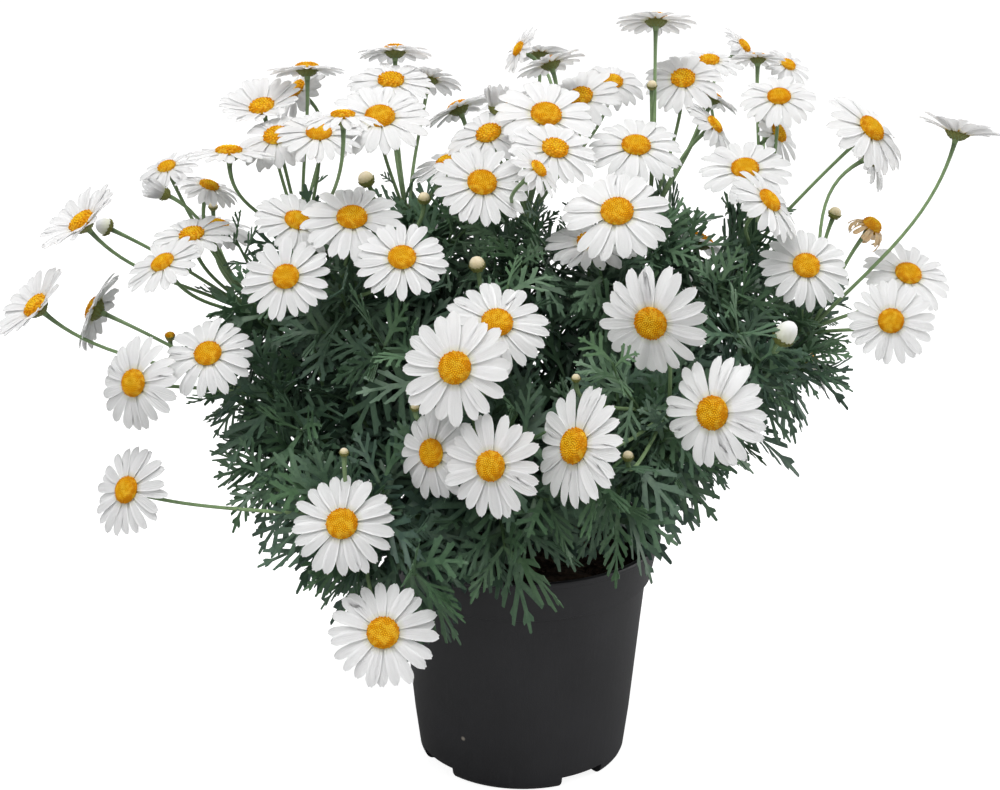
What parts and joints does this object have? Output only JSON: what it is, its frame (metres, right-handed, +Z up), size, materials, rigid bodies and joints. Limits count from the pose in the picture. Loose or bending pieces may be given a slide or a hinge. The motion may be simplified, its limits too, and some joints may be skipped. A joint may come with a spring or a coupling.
{
  "type": "potted marguerite daisy",
  "caption": "Bushy marguerite daisy with cut leaves and white petalled blooms on thin stalks, growing in soil in a plain tapered nursery pot.",
  "frame": {"origin": "middle of the pot's flat underside, on the ground", "axes": "+Z up along the pot's axis, -Y towards the side that is seen first, +X along the plant's widest spread"},
  "size_m": [0.5009, 0.3165, 0.3904],
  "materials": {
    "pot": "dark grey moulded plastic with a soft sheen",
    "soil": "dark crumbly peat and bark",
    "leaf": "blue-green, slightly waxy",
    "petal": "white, soft and finely grooved",
    "disc": "golden yellow, granular"
  },
  "bodies": {
    "root": {"pot": "pot", "soil": "soil", "leafy_stem_back_left": "leaf", "leafy_stem_back_right": "leaf", "leafy_stem_crest": "leaf", "leafy_stem_crest_left": "leaf", "leafy_stem_crest_right": "leaf", "leafy_stem_front": "leaf", "leafy_stem_front_right": "leaf", "leafy_stem_high_left": "leaf", "leafy_stem_left": "leaf", "leafy_stem_low_left": "leaf", "leafy_stem_mid_left": "leaf", "leafy_stem_right": "leaf", "leafy_stem_upper_left": "leaf", "leafy_stem_upper_right": "leaf", "flower_spray_back_left": "petal", "flower_spray_back_right": "petal", "flower_spray_crest": "petal", "flower_spray_crest_left": "petal", "flower_spray_crest_right": "petal", "flower_spray_front": "petal", "flower_spray_front_right": "petal", "flower_spray_high_left": "petal", "flower_spray_left": "petal", "flower_spray_low_left": "petal", "flower_spray_mid_left": "petal", "flower_spray_right": "petal", "flower_spray_upper_left": "petal", "flower_spray_upper_right": "petal", "bloom_disc_crest_1": "disc", "bloom_disc_crest_3": "disc", "bloom_disc_crest_left_1": "disc", "bloom_disc_crest_right_1": "disc", "bloom_disc_crest_right_3": "disc", "bloom_disc_front_1": "disc", "bloom_disc_front_2": "disc", "bloom_disc_front_3": "disc", "bloom_disc_front_4": "disc", "bloom_disc_front_right_1": "disc", "bloom_disc_front_right_2": "disc", "bloom_disc_front_right_3": "disc", "bloom_disc_high_left_2": "disc", "bloom_disc_left_1": "disc", "bloom_disc_left_2": "disc", "bloom_disc_low_left_1": "disc", "bloom_disc_low_left_2": "disc", "bloom_disc_low_left_3": "disc", "bloom_disc_mid_left_1": "disc", "bloom_disc_mid_left_2": "disc", "bloom_disc_mid_left_3": "disc", "bloom_disc_mid_left_4": "disc", "bloom_disc_right_1": "disc", "bloom_disc_right_5": "disc", "bloom_disc_right_6": "disc", "bloom_disc_upper_left_6": "disc", "bloom_disc_upper_right_1": "disc", "bloom_disc_upper_right_2": "disc", "bloom_disc_upper_right_4": "disc", "bloom_disc_upper_right_8": "disc"}
  },
  "joints": []
}
